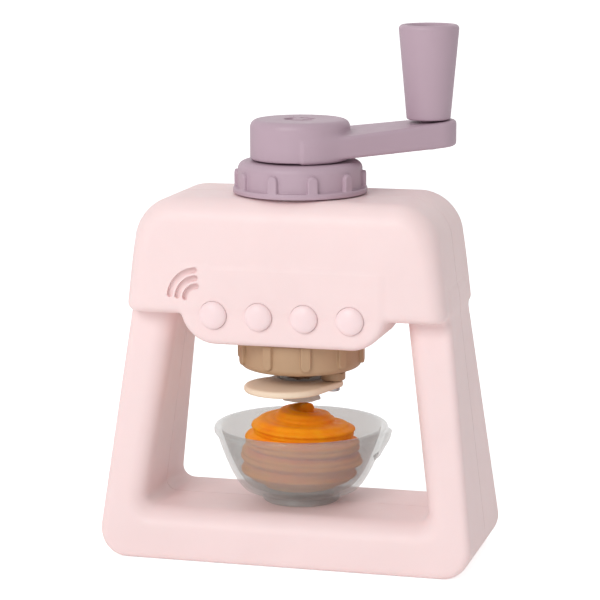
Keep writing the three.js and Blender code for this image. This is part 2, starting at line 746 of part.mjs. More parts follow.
// Swinging plate with a finger tab; the spout hangs from its funnel hole.
function plateOutline() {
  const knuckle = 4.6;
  const dx = PLATE_CENTRE[0] - PIVOT[0];
  const dy = PLATE_CENTRE[1] - PIVOT[1];
  const span = Math.hypot(dx, dy);
  const facing = Math.atan2(dy, dx);
  const lean = Math.acos((PLATE_RADIUS - knuckle) / span);
  const points = [];
  const steps = 24;
  for (let k = 0; k <= steps; k += 1) {
    const angle = facing + Math.PI + lean + ((2 * Math.PI - 2 * lean) * k) / steps;
    points.push([
      PLATE_CENTRE[0] + PLATE_RADIUS * Math.cos(angle),
      PLATE_CENTRE[1] + PLATE_RADIUS * Math.sin(angle),
    ]);
  }
  const small = 10;
  for (let k = 0; k <= small; k += 1) {
    const angle = facing + Math.PI - lean + (2 * lean * k) / small;
    points.push([PIVOT[0] + knuckle * Math.cos(angle), PIVOT[1] + knuckle * Math.sin(angle)]);
  }
  return new THREE.Shape(points.map(([x, y]) => new THREE.Vector2(x, y)));
}

const SPOUT_TOP_RADIUS = 9.8;
function makeNozzlePlate() {
  const plate = prism(plateOutline(), PLATE_BOTTOM, PLATE_TOP);
  const collar = disc(SPOUT_TOP_RADIUS + 3.4, PLATE_BOTTOM, PLATE_TOP, 28);
  const hole = disc(SPOUT_TOP_RADIUS + GAP, PLATE_BOTTOM - 1, PLATE_TOP + 1, 28);
  const pivotHole = disc(2, PLATE_BOTTOM - 1, PLATE_TOP + 1, SMALL).translate([...PIVOT, 0]);
  return plate.add(collar).subtract(hole).subtract(pivotHole);
}
addPart("nozzle_plate", makeNozzlePlate(), "cream");

// Fluted spout: a star shaped tube whose waist is narrower than its ends.
function makeSpout() {
  const outer = turned([
    [0, SPOUT_BOTTOM],
    [8.6, SPOUT_BOTTOM],
    [7.8, SPOUT_BOTTOM + 3],
    [9.4, PLATE_BOTTOM - 1],
    [SPOUT_TOP_RADIUS, PLATE_BOTTOM],
    [SPOUT_TOP_RADIUS, PLATE_TOP],
    [0, PLATE_TOP],
  ], 28);
  const flutes = 8;
  const points = [];
  for (let k = 0; k < flutes; k += 1) {
    for (const [radius, offset] of [[7, 0], [5, 0.5]]) {
      const angle = (2 * Math.PI * (k + offset)) / flutes;
      points.push(new THREE.Vector2(radius * Math.cos(angle), radius * Math.sin(angle)));
    }
  }
  return outer.subtract(prism(new THREE.Shape(points), SPOUT_BOTTOM - 1, PLATE_TOP + 1));
}
addPart("star_spout", makeSpout(), "spout");

function makePivotScrew() {
  const under = PLATE_BOTTOM - GAP - 1.4;
  return turned([
    [0, under],
    [3.2, under],
    [3.2, PLATE_BOTTOM - GAP],
    [1.6, PLATE_BOTTOM - GAP],
    [1.6, PLATE_TOP],
    [1.2, PLATE_TOP],
    [1.2, PLATE_TOP + 3.8],
    [0, PLATE_TOP + 3.8],
  ], SMALL);
}
addPart("pivot_screw", makePivotScrew(), "steel", [...PIVOT, 0]);

// ---- bowl and dough -----------------------------------------------------------------------
// Outer bowl wall: a flared curve from the foot to the rim.
const bowlRadiusAt = (t) => BOWL_FOOT_RADIUS + 3 + (BOWL_RADIUS - BOWL_FOOT_RADIUS - 4.2) * Math.sqrt(t);

function makeBowl() {
  const steps = 6;
  const foot = BOWL_FLOOR + 3;
  const profile = [[BOWL_FOOT_RADIUS - 2.2, BOWL_FLOOR], [BOWL_FOOT_RADIUS, BOWL_FLOOR]];
  profile.push([BOWL_FOOT_RADIUS - 0.3, foot]);
  for (let k = 0; k <= steps; k += 1) {
    profile.push([bowlRadiusAt(k / steps), foot + 1 + ((BOWL_RIM - foot - 3.4) * k) / steps]);
  }
  profile.push([BOWL_RADIUS, BOWL_RIM - 2.2]);
  profile.push([BOWL_RADIUS, BOWL_RIM]);
  profile.push([BOWL_RADIUS - 3.2, BOWL_RIM]);
  for (let k = steps; k >= 0; k -= 1) {
    const z = foot + 3.4 + ((BOWL_RIM - foot - 5.4) * k) / steps;
    profile.push([bowlRadiusAt(k / steps) - BOWL_WALL, z]);
  }
  profile.push([0, foot + 2.6]);
  profile.push([0, foot]);
  profile.push([BOWL_FOOT_RADIUS - 2.8, foot]);
  const ear = outline([
    [BOWL_RADIUS - 2, -5.5],
    [BOWL_RADIUS + 2.6, -5.5, 2],
    [BOWL_RADIUS + 2.6, 5.5, 2],
    [BOWL_RADIUS - 2, 5.5],
  ], 3);
  const wall = turned(profile, 30, true);
  return wall.add(prism(ear, BOWL_RIM - 2.2, BOWL_RIM));
}
addPart("bowl", makeBowl(), "clear");

// Plain body of the dough heap: three stepped coils and a blunt tip.
function makeDough() {
  const floor = BOWL_FLOOR + 3 + 2.6 + 1.1;
  return turned([
    [0, floor],
    [17.5, floor],
    [24.5, floor + 12],
    [25.5, 52],
    [25, 58.5],
    [20.5, 62],
    [13, 64],
    [6, 67.2],
    [3, DOUGH_TOP],
    [0, DOUGH_TOP],
  ], 24);
}
addPart("dough_swirl", makeDough(), "dough");

model.position.z = -BASE_BOTTOM;

export default model;
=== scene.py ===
"""Looks for the toy ice cream maker: smooth moulded housing, crank, nozzle, bowl and dough.

Shapes are made in millimetres, in the frame of the CAD model, and turned into metres when
they become meshes. Soft moulded shapes are distance fields, meshed and then pulled onto the
exact surface; round pieces are profiles turned about an axis.
"""

import json
import math

import bmesh
import bpy
import numpy as np
from mathutils import Matrix, Vector


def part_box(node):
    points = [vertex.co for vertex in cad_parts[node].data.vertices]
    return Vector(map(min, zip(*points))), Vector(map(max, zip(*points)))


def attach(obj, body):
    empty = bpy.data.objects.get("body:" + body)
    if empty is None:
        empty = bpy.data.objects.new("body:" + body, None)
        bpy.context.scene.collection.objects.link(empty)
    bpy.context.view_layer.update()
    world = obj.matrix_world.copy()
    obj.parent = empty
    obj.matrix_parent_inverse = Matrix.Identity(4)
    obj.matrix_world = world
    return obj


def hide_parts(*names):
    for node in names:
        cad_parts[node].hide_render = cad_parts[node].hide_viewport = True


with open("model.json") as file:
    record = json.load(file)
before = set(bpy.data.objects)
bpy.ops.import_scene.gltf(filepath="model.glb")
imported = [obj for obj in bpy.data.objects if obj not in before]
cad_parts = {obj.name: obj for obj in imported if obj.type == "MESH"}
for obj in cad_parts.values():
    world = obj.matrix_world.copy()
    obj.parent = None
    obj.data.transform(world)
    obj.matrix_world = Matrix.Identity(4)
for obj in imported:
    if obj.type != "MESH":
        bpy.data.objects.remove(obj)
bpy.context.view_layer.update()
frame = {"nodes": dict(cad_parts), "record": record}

MM = 0.001

# ---- driving dimensions: lengths in millimetres, angles in degrees --------------------------
GROUND = 0.8  # the shapes are drawn from this height, then set on the ground
SPLIT = 0.175  # half the joint line between the two halves of the housing
WALL = 2.5

BASE_HALF_WIDTH = 87.0
SIDE_TAPER = 0.1215  # how far the sides lean in, for each millimetre of height
BASE_BOTTOM = 0.8
BASE_TOP = 23.7
BASE_HALF_DEPTH = 37.3
DEPTH_TAPER = 0.138
BASE_CORNER_RADIUS = 14.5
WINDOW_HALF_WIDTH = 69.0
WINDOW_TAPER = 0.1458
WINDOW_EDGE_RADIUS = 9.0
HEAD_BOTTOM = 113.0
HEAD_TOP = 164.5
HEAD_HALF_DEPTH = 33.3
HEAD_CORNER_RADIUS = 17.0
HEAD_EDGE_RADIUS = 8.0
HEAD_EDGE_GROWTH = 3.0  # how much rounder the head's front and back edges get towards its top
LEG_EDGE_RADIUS = 3.2
SILL_CORNER_RADIUS = 6.0
CREASE_RADIUS = 1.6  # where the legs and the button panel meet the head

LOBE_HALF_WIDTH = 46.7
LOBE_BOTTOM = 100.0
LOBE_TOP = 134.0  # inside the head, where the panel has long merged with it
LOBE_CORNER_RADIUS = 16.0

BUTTON_PITCH = 20.7
BUTTON_Z = 113.5
BUTTON_RADIUS = 6.2
BUTTON_GAP = 0.14
BUTTON_DOME = 3.3
CASE_SCREW_HOLE_RADIUS = 3.9

GROOVE_RADII = (6.0, 9.6, 13.2)
GROOVE_WIDTH = 2.7
GROOVE_DEPTH = 2.0
GROOVE_CENTRE = (-38.0, 120.2)
GROOVE_ARC = (96.0, 172.0)  # where each groove starts and ends

BARREL_RADIUS = 24.4
BARREL_BORE = 21.5
SCREW_CORE = 4.8
THREAD_PITCH = 8.0
THREAD_RADIUS = 1.5
SCREW_SHAFT = 72.2  # length of the screw below its spigot

RIB_COUNT = 10
RIB_WIDTH = 4.6
TOP_CAP_RADIUS = 27.8
TOP_CAP_RIB_REACH = 29.5
TOP_CAP_RIB_PHASE = 7.9
NOZZLE_CAP_RADIUS = 27.6
NOZZLE_CAP_RIB_REACH = 29.2
NOZZLE_CAP_RIB_PHASE = 1.3

ARM_ANGLE = 30.0
ARM_RISE = 4.6
ARM_LENGTH = 59.9
HUB_RADIUS = 22.3
ARM_END_RADIUS = 12.6
ARM_BOTTOM = 180.4
ARM_TOP = 189.8
ARM_UNDERSIDE_RISE = 0.62  # the arm's underside climbs less than its top
SLOT_RING_RADIUS = 5.2
SLOT_RADIUS = 1.7
AXLE_HOLE_RADIUS = 3.35

PLATE_CENTRE = (-2.6, -17.3)
PLATE_RADIUS = 18.5
KNUCKLE_RADIUS = 4.6

BOWL_FOOT_RADIUS = 17.6
BOWL_WALL = 2.1

# Strength of the light from the surroundings, in front of the toy and behind it.
WORLD_FRONT = 0.52
WORLD_BACK = 1.0


def low(node):
    """Lowest corner of a CAD node, in millimetres."""
    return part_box(node)[0] / MM + Vector((0, 0, GROUND))


def high(node):
    """Highest corner of a CAD node, in millimetres."""
    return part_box(node)[1] / MM + Vector((0, 0, GROUND))


# ---- mesh tools ----------------------------------------------------------------------------
def add_object(name, mesh):
    item = bpy.data.objects.new(name, mesh)
    bpy.context.scene.collection.objects.link(item)
    return item


def mesh_of(build, name):
    """The finished mesh of a bmesh, which is then freed."""
    mesh = bpy.data.meshes.new(name)
    build.to_mesh(mesh)
    build.free()
    return mesh


def smooth(item, angle=35.0):
    """Smooth shading, with edges sharper than the angle kept crisp."""
    item.data.polygons.foreach_set("use_smooth", [True] * len(item.data.polygons))
    item.data.set_sharp_from_angle(angle=math.radians(angle))
    return item


def turned(name, profile, centre=(0.0, 0.0, 0.0), segments=96, angle=35.0):
    """Turns (radius, height) points about Z. Points on the axis become poles."""
    build = bmesh.new()
    rings = []
    for radius, height in profile:
        if radius < 1e-6:
            rings.append([build.verts.new((0, 0, height * MM))])
            continue
        steps = (2 * math.pi * k / segments for k in range(segments))
        rings.append([
            build.verts.new((radius * math.cos(a) * MM, radius * math.sin(a) * MM, height * MM))
            for a in steps
        ])
    closed = len(rings[0]) > 1
    pairs = zip(rings, rings[1:] + rings[:1]) if closed else zip(rings, rings[1:])
    for first, second in pairs:
        for k in range(segments):
            after = (k + 1) % segments
            corners = [first[k % len(first)], first[after % len(first)]]
            corners += [second[after % len(second)], second[k % len(second)]]
            unique = list(dict.fromkeys(corners))
            if len(unique) > 2:
                build.faces.new(unique)
    bmesh.ops.recalc_face_normals(build, faces=build.faces)
    mesh = mesh_of(build, name)
    mesh.transform(Matrix.Translation(Vector(centre) * MM))
    return smooth(add_object(name, mesh), angle)


def rounded(points, steps=6):
    """Profile with rounded corners, from (radius, height, corner radius) points."""
    result = []
    count = len(points)
    for i, point in enumerate(points):
        here = Vector(point[:2])
        bend = point[2] if len(point) > 2 else 0.0
        if bend == 0.0:
            result.append(tuple(here))
            continue
        back = (Vector(points[i - 1][:2]) - here).normalized()
        ahead = (Vector(points[(i + 1) % count][:2]) - here).normalized()
        half = back.angle(ahead) / 2
        middle = (back + ahead).normalized()
        centre = here + middle * (bend / math.sin(half))
        start = here + back * (bend / math.tan(half)) - centre
        end = here + ahead * (bend / math.tan(half)) - centre
        turn = start.angle_signed(end)
        for k in range(steps + 1):
            part = -turn * k / steps
            cos, sin = math.cos(part), math.sin(part)
            result.append((
                centre.x + start.x * cos - start.y * sin,
                centre.y + start.x * sin + start.y * cos,
            ))
    return result


CORNERS = [(i, j, k) for i in (0, 1) for j in (0, 1) for k in (0, 1)]
EDGES = [
    (a, b)
    for a in CORNERS
    for b in CORNERS
    if a < b and sum(abs(p - q) for p, q in zip(a, b)) == 1
]


def part_of(grid, corner):
    """The grid's values at one corner of every cell."""
    i, j, k = corner
    nx, ny, nz = grid.shape
    return grid[i:nx - 1 + i, j:ny - 1 + j, k:nz - 1 + k]


def cell_points(value, mixed):
    """Mean of the places where the surface crosses each mixed cell's edges, in cells."""
    count = int(mixed.sum())
    total = np.zeros((count, 3))
    hits = np.zeros(count)
    for a, b in EDGES:
        va = part_of(value, a)[mixed]
        vb = part_of(value, b)[mixed]
        crossed = (va < 0) != (vb < 0)
        t = np.where(crossed, va / np.where(crossed, va - vb, 1.0), 0.0)
        for axis in range(3):
            total[:, axis] += crossed * (a[axis] + t * (b[axis] - a[axis]))
        hits += crossed
    return total / hits[:, None]


def cell_quads(value, index):
    """Quads between the four cells round each crossed grid edge."""
    quads = []
    inside = value < 0
    for axis in range(3):
        others = [n for n in range(3) if n != axis]
        near = [slice(None)] * 3
        far = [slice(None)] * 3
        near[axis] = slice(0, -1)
        far[axis] = slice(1, None)
        for n in others:
            near[n] = slice(1, -1)
            far[n] = slice(1, -1)
        first = inside[tuple(near)]
        second = inside[tuple(far)]
        at = np.argwhere(first != second)
        flip = first[tuple(at.T)]
        base = at.copy()
        for n in others:
            base[:, n] += 1
        ring = []
        for du, dv in ((0, 0), (-1, 0), (-1, -1), (0, -1)):
            cell = base.copy()
            cell[:, others[0]] += du
            cell[:, others[1]] += dv
            ring.append(index[tuple(cell.T)])
        ring = np.stack(ring, axis=1)
        if axis == 1:
            flip = ~flip
        ring[~flip] = ring[~flip][:, ::-1]
        quads.append(ring)
    return np.concatenate(quads)


def slope(field, points, reach=0.04):
    """Gradient of the field at the points, by differences."""
    result = np.zeros_like(points)
    for axis in range(3):
        shift = np.zeros(3)
        shift[axis] = reach
        ahead = points + shift
        behind = points - shift
        result[:, axis] = (field(*ahead.T) - field(*behind.T)) / (2 * reach)
    return result


def modelled(name, field, box, step, angle=40.0):
    """Mesh of the surface where the field is zero, inside box = (low, high) corners.

    Each point is then pulled onto the surface, so the mesh follows it more closely than
    the grid that it came from.
    """
    step = step * 1.0
    axes = [np.arange(a - 1.5 * step, b + 2.5 * step, step) for a, b in zip(*box)]
    x, y, z = np.meshgrid(*axes, indexing="ij")
    value = field(x, y, z)
    inside = sum(part_of(value < 0, corner).astype(np.int8) for corner in CORNERS)
    mixed = (inside > 0) & (inside < 8)
    index = np.full(mixed.shape, -1, dtype=np.int64)
    index[mixed] = np.arange(int(mixed.sum()))
    points = (np.argwhere(mixed) + cell_points(value, mixed)) * step
    points += np.array([axis[0] for axis in axes])
    for _ in range(4):
        normal = slope(field, points)
        size = np.maximum((normal ** 2).sum(axis=1), 0.05)
        move = normal * (field(*points.T) / size)[:, None]
        length = np.linalg.norm(move, axis=1)
        move *= (np.minimum(length, 0.5 * step) / np.maximum(length, 1e-9))[:, None]
        points -= move
    mesh = bpy.data.meshes.new(name)
    mesh.from_pydata((points * MM).tolist(), [], cell_quads(value, index).tolist())
    mesh.validate()
    return smooth(add_object(name, mesh), angle)


def applied(item):
    """Replaces the object's mesh by what its modifiers make of it."""
    graph = bpy.context.evaluated_depsgraph_get()
    mesh = bpy.data.meshes.new_from_object(item.evaluated_get(graph))
    item.modifiers.clear()
    item.data = mesh
    return item


def cut(item, cutter, operation="DIFFERENCE", angle=40.0):
    """Exact boolean with a cutter, which is then deleted."""
    step = item.modifiers.new("cut", "BOOLEAN")
    step.operation = operation
    step.solver = "EXACT"
    step.object = cutter
    applied(item)
    bpy.data.objects.remove(cutter)
    return smooth(item, angle)


def joined(items):
    """One object from several, as they are."""
    build = bmesh.new()
    for item in items:
        build.from_mesh(item.data)
        bpy.data.objects.remove(item)
    return add_object("joined", mesh_of(build, "joined"))


def block(lo, hi):
    """Plain box used as a cutter."""
    build = bmesh.new()
    bmesh.ops.create_cube(build, size=1.0)
    size = Vector(hi) - Vector(lo)
    middle = (Vector(hi) + Vector(lo)) / 2
    for vert in build.verts:
        vert.co = Vector(v * s + m for v, s, m in zip(vert.co, size, middle)) * MM
    return add_object("block", mesh_of(build, "block"))


def bar(points, y0, y1):
    """Prism cutter of an XZ outline, between two depths."""
    build = bmesh.new()
    front = [build.verts.new((x * MM, y0 * MM, z * MM)) for x, z in points]
    back = [build.verts.new((x * MM, y1 * MM, z * MM)) for x, z in points]
    build.faces.new(front)
    build.faces.new(back[::-1])
    for k in range(len(points)):
        after = (k + 1) % len(points)
        build.faces.new((front[k], back[k], back[after], front[after]))
    bmesh.ops.recalc_face_normals(build, faces=build.faces)
    return add_object("bar", mesh_of(build, "bar"))


def circle(radius, x, z, segments=48):
    """Round XZ outline."""
    steps = (2 * math.pi * k / segments for k in range(segments))
    return [(x + radius * math.cos(a), z + radius * math.sin(a)) for a in steps]


# ---- distance fields -----------------------------------------------------------------------
def both(a, b, radius=0.0):
    """Inside a and b, with the edge between them rounded."""
    corner = np.hypot(np.maximum(a + radius, 0.0), np.maximum(b + radius, 0.0))
    return np.minimum(np.maximum(a, b), -radius) + corner


def either(a, b, radius=0.0):
    """Inside a or b, with the crease between them filled to a radius."""
    return -both(-a, -b, radius)


def without(a, b, radius=0.0):
    """Inside a but not b, with the edge between them rounded."""
    return both(a, -b, radius)


def blend_step(value, start, end):
    """Smooth climb from 0 at start to 1 at end."""
    t = np.clip((value - start) / (end - start), 0.0, 1.0)
    return t * t * (3 - 2 * t)


# ---- materials -----------------------------------------------------------------------------
class Nodes:
    """Short way of writing a node material."""

    def __init__(self, name, base, roughness):
        self.material = bpy.data.materials.new(name)
        self.material.use_nodes = True
        self.tree = self.material.node_tree
        self.shader = self.tree.nodes["Principled BSDF"]
        self.shader.inputs["Base Color"].default_value = (*base, 1.0)
        self.shader.inputs["Roughness"].default_value = roughness
        self.place = self.tree.nodes.new("ShaderNodeTexCoord").outputs["Object"]

    def noise(self, scale, detail=3.0, rough=0.5, distortion=0.0):
        node = self.tree.nodes.new("ShaderNodeTexNoise")
        node.inputs["Scale"].default_value = scale
        node.inputs["Detail"].default_value = detail
        node.inputs["Roughness"].default_value = rough
        node.inputs["Distortion"].default_value = distortion
        self.tree.links.new(self.place, node.inputs["Vector"])
        return node.outputs["Fac"]

    def ramp(self, source, stops):
        node = self.tree.nodes.new("ShaderNodeValToRGB")
        band = node.color_ramp
        band.elements[0].position, band.elements[1].position = stops[0][0], stops[-1][0]
        band.elements[0].color = (*stops[0][1], 1.0)
        band.elements[1].color = (*stops[-1][1], 1.0)
        for position, colour in stops[1:-1]:
            band.elements.new(position).color = (*colour, 1.0)
        self.tree.links.new(source, node.inputs["Fac"])
        return node.outputs["Color"]

    def span(self, source, lo, hi):
        node = self.tree.nodes.new("ShaderNodeMapRange")
        node.inputs["From Min"].default_value = 0.3
        node.inputs["From Max"].default_value = 0.7
        node.inputs["To Min"].default_value = lo
        node.inputs["To Max"].default_value = hi
        self.tree.links.new(source, node.inputs["Value"])
        return node.outputs["Result"]

    def bump(self, source, strength, distance, under=None):
        node = self.tree.nodes.new("ShaderNodeBump")
        node.inputs["Strength"].default_value = strength
        node.inputs["Distance"].default_value = distance
        self.tree.links.new(source, node.inputs["Height"])
        if under is not None:
            self.tree.links.new(under, node.inputs["Normal"])
        return node.outputs["Normal"]

    def link(self, source, socket):
        self.tree.links.new(source, self.shader.inputs[socket])


def linear(red, green, blue):
    """Display colour, 0 to 255, as the linear colour that shaders use."""
    def one(value):
        value /= 255.0
        return value / 12.92 if value <= 0.04045 else ((value + 0.055) / 1.055) ** 2.4
    return one(red), one(green), one(blue)


def tinted(colour, factor):
    """The colour made lighter or darker."""
    return tuple(min(part * factor, 1.0) for part in colour)


def moulded(name, colour, roughness=0.42, grain=0.12, soft=0.0):
    """Satin injection-moulded plastic: faint clouding, fine spark-eroded grain and a
    slightly uneven gloss."""
    nodes = Nodes(name, colour, roughness)
    cloud = nodes.noise(22.0, 4.0, 0.55, 0.3)
    stops = [(0.3, tinted(colour, 0.972)), (0.5, colour), (0.72, tinted(colour, 1.02))]
    nodes.link(nodes.ramp(cloud, stops), "Base Color")
    nodes.link(nodes.span(nodes.noise(160.0, 3.0), roughness - 0.05, roughness + 0.06), "Roughness")
    fine = nodes.bump(nodes.noise(2600.0, 2.0, 0.6), grain, 0.00006)
    sink = nodes.bump(nodes.noise(26.0, 1.0, 0.4), 0.05, 0.0009, fine)
    nodes.link(sink, "Normal")
    nodes.shader.inputs["IOR"].default_value = 1.48
    nodes.shader.inputs["Specular IOR Level"].default_value = 0.45
    if soft:
        nodes.shader.inputs["Subsurface Weight"].default_value = soft
        nodes.shader.inputs["Subsurface Radius"].default_value = (1.0, 0.5, 0.4)
        nodes.shader.inputs["Subsurface Scale"].default_value = 0.003
    return nodes.material


def steel(name):
    nodes = Nodes(name, linear(184, 186, 190), 0.32)
    streak = nodes.noise(420.0, 4.0, 0.7, 1.2)
    stops = [(0.3, linear(160, 162, 166)), (0.7, linear(205, 206, 208))]
    nodes.link(nodes.ramp(streak, stops), "Base Color")
    nodes.link(nodes.span(streak, 0.24, 0.42), "Roughness")
    nodes.link(nodes.bump(streak, 0.1, 0.00005), "Normal")
    nodes.shader.inputs["Metallic"].default_value = 1.0
    return nodes.material


def rubber(name, colour):
    nodes = Nodes(name, colour, 0.85)
    cloud = nodes.noise(90.0, 4.0)
    nodes.link(nodes.ramp(cloud, [(0.3, tinted(colour, 0.9)), (0.7, tinted(colour, 1.08))]), "Base Color")
    nodes.link(nodes.bump(nodes.noise(1800.0), 0.25, 0.00008), "Normal")
    return nodes.material


def clear_plastic(name):
    """Clear moulded styrene, slightly milky and grey, with soft ripples."""
    tint = linear(160, 163, 160)
    nodes = Nodes(name, tint, 0.12)
    cloud = nodes.noise(18.0, 2.0, 0.4)
    nodes.link(nodes.ramp(cloud, [(0.3, tinted(tint, 0.95)), (0.7, tinted(tint, 1.05))]), "Base Color")
    nodes.link(nodes.span(nodes.noise(120.0), 0.08, 0.18), "Roughness")
    nodes.link(nodes.bump(nodes.noise(34.0, 1.0, 0.3), 0.05, 0.001), "Normal")
    nodes.shader.inputs["Alpha"].default_value = 0.4
    nodes.shader.inputs["IOR"].default_value = 1.5
    return nodes.material


def dough_material(name):
    """Modelling dough: orange, matt, slightly mealy, a little light getting under its skin."""
    colour = linear(255, 158, 10)
    nodes = Nodes(name, colour, 0.62)
    cloud = nodes.noise(70.0, 5.0, 0.6, 0.5)
    deep = linear(250, 136, 4)
    pale = linear(255, 174, 24)
    nodes.link(nodes.ramp(cloud, [(0.3, deep), (0.52, colour), (0.75, pale)]), "Base Color")
    nodes.link(nodes.span(nodes.noise(260.0), 0.52, 0.72), "Roughness")
    mealy = nodes.bump(nodes.noise(1300.0, 5.0, 0.7), 0.3, 0.00018)
    lumps = nodes.bump(nodes.noise(240.0, 3.0, 0.5), 0.18, 0.0006, mealy)
    nodes.link(lumps, "Normal")
    nodes.shader.inputs["Subsurface Weight"].default_value = 0.1
    nodes.shader.inputs["Specular IOR Level"].default_value = 0.25
    nodes.shader.inputs["Subsurface Radius"].default_value = (1.0, 0.4, 0.1)
    nodes.shader.inputs["Subsurface Scale"].default_value = 0.004
    return nodes.material


PINK = moulded("pink_plastic", linear(248, 222, 221), 0.45, 0.12, 0.08)
BUTTON = moulded("button_plastic", linear(250, 224, 225), 0.38, 0.08, 0.08)
MAUVE = moulded("mauve_plastic", linear(188, 163, 176), 0.46, 0.12)
TAN = moulded("tan_plastic", linear(186, 152, 120), 0.48, 0.12)
CREAM = moulded("cream_plastic", linear(243, 219, 193), 0.42, 0.1)
SPOUT = moulded("spout_plastic", linear(208, 202, 196), 0.35, 0.1)
BARREL = moulded("barrel_plastic", linear(232, 220, 210), 0.4, 0.1)
RUBBER = rubber("silicone", linear(214, 206, 202))
STEEL = steel("screw_steel")
CLEAR = clear_plastic("clear_bowl_plastic")
DOUGH = dough_material("orange_dough")

SLOT_MATERIALS = {
    "pink_shell": PINK,
    "button": BUTTON,
    "mauve": MAUVE,
    "tan": TAN,
    "cream": CREAM,
    "spout": SPOUT,
    "barrel": BARREL,
    "rubber": RUBBER,
    "steel": STEEL,
    "clear_bowl": CLEAR,
    "dough": DOUGH,
}
slot_of = {row["node"]: row["material_slot"] for row in frame["record"]["subparts"]}
body_of = {
    node: body
    for body, nodes in frame["record"]["behaviour"]["bodies"].items()
    for node in nodes
}


def stand_for(item, *nodes):
    """The piece takes the place, the body and the slot's material of the CAD nodes, which it hides."""
    slot = slot_of[nodes[0]]
    item.data.transform(Matrix.Translation((0, 0, -GROUND * MM)))
    item.data.materials.clear()
    item.data.materials.append(SLOT_MATERIALS[slot])
    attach(item, body_of[nodes[0]])
    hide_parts(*nodes)
    return item


def model_node(name, node, field, step):
    """A modelled piece that fills the box of its CAD node."""
    return stand_for(modelled(name, field, (low(node), high(node)), step), node)


def dress_cad_nodes():
    """Every CAD node gets its slot's material; those that still show keep it."""
    for name, node in frame["nodes"].items():
        node.data.materials.clear()
        node.data.materials.append(SLOT_MATERIALS[slot_of[name]])


# ---- housing -------------------------------------------------------------------------------
def outer_outline(x, z, inset=0.0):
    """Front view of the housing: leaning sides with round corners."""
    lean = 1 / math.hypot(1, SIDE_TAPER)
    side = (np.abs(x) - (BASE_HALF_WIDTH - SIDE_TAPER * z)) * lean + inset
    bottom = BASE_BOTTOM + inset - z
    top = z - HEAD_TOP + inset
    return both(both(side, bottom, BASE_CORNER_RADIUS - inset), top, HEAD_CORNER_RADIUS - inset)


def legs_field(x, y, z, inset=0.0):
    """Legs and base: they get deeper towards the ground, and the window's edges are wide
    soft curves."""
    lean = 1 / math.hypot(1, DEPTH_TAPER)
    depth = (np.abs(y) - (BASE_HALF_DEPTH - DEPTH_TAPER * z)) * lean + inset
    body = both(outer_outline(x, z, inset), depth, LEG_EDGE_RADIUS - 0.5 * inset)
    side_lean = 1 / math.hypot(1, WINDOW_TAPER)
    side = (np.abs(x) - (WINDOW_HALF_WIDTH - WINDOW_TAPER * z)) * side_lean - inset
    sill = BASE_TOP - inset - z
    window = both(side, sill, SILL_CORNER_RADIUS)
    body = without(body, window, max(WINDOW_EDGE_RADIUS - inset, 3.0))
    return np.maximum(body, z - (HEAD_BOTTOM + 12))


def head_field(x, y, z, inset=0.0):
    """Head block: overhangs the legs, with a big soft edge round its top."""
    growth = HEAD_EDGE_GROWTH * blend_step(z, LOBE_TOP, HEAD_TOP - 4.5)
    soft = HEAD_EDGE_RADIUS + growth - 0.4 * inset
    depth = np.abs(y) - HEAD_HALF_DEPTH + inset
    body = both(outer_outline(x, z, inset), depth, soft)
    return both(body, HEAD_BOTTOM + inset - z, 4.2 - 0.5 * inset)


def lobe_field(x, y, z, inset=0.0):
    """Button panel that hangs below the head at the front."""
    side = np.abs(x) - LOBE_HALF_WIDTH + inset
    bottom = LOBE_BOTTOM + inset - z
    face = both(side, bottom, LOBE_CORNER_RADIUS - inset)
    depth = np.maximum(-HEAD_HALF_DEPTH + inset - y, y - 6.0)
    body = both(face, depth, 3.2 - 0.4 * inset)
    return np.maximum(body, z - LOBE_TOP)


def housing_field(x, y, z, inset=0.0, lobe=True):
    """The whole housing as one solid, made smaller all round by the inset."""
    body = either(legs_field(x, y, z, inset), head_field(x, y, z, inset), CREASE_RADIUS)
    if lobe:
        body = either(body, lobe_field(x, y, z, inset), CREASE_RADIUS)
    return body


def front_field(x, y, z):
    """Hollow housing with a closed button panel."""
    shell = without(housing_field(x, y, z), housing_field(x, y, z, WALL))
    back_of_lobe = np.maximum(lobe_field(x, y, z), -WALL - y)
    return np.minimum(shell, back_of_lobe)


def rear_field(x, y, z):
    """Hollow housing without the button panel."""
    body = housing_field(x, y, z, lobe=False)
    return without(body, housing_field(x, y, z, WALL, lobe=False))


def barrel_hole(z0, z1):
    """Cutter for the round hole that the barrel goes through."""
    radius = BARREL_RADIUS + 0.7
    return turned("hole", [(0, z0), (radius, z0), (radius, z1), (0, z1)])


def groove_cutter(radius):
    """Arc-shaped slot with rounded ends."""
    start, end = (math.radians(a) for a in GROOVE_ARC)
    half = GROOVE_WIDTH / 2
    points = []
    steps = 20
    for k in range(steps + 1):
        angle = start + (end - start) * k / steps
        points.append(((radius + half) * math.cos(angle), (radius + half) * math.sin(angle)))
    for k in range(1, 8):
        turn = end + math.pi * k / 8
        middle = (radius * math.cos(end), radius * math.sin(end))
        points.append((middle[0] + half * math.cos(turn), middle[1] + half * math.sin(turn)))
    for k in range(steps + 1):
        angle = end + (start - end) * k / steps
        points.append(((radius - half) * math.cos(angle), (radius - half) * math.sin(angle)))
    for k in range(1, 8):
        turn = start + math.pi + math.pi * k / 8
        middle = (radius * math.cos(start), radius * math.sin(start))
        points.append((middle[0] + half * math.cos(turn), middle[1] + half * math.sin(turn)))
    x, z = GROOVE_CENTRE
    points = [(x + u, z + v) for u, v in points]
    return bar(points, -HEAD_HALF_DEPTH - 3, -HEAD_HALF_DEPTH + GROOVE_DEPTH)


def button_places():
    """Middle of each button, as X and Z."""
    return [((i - 1.5) * BUTTON_PITCH, BUTTON_Z) for i in range(4)]


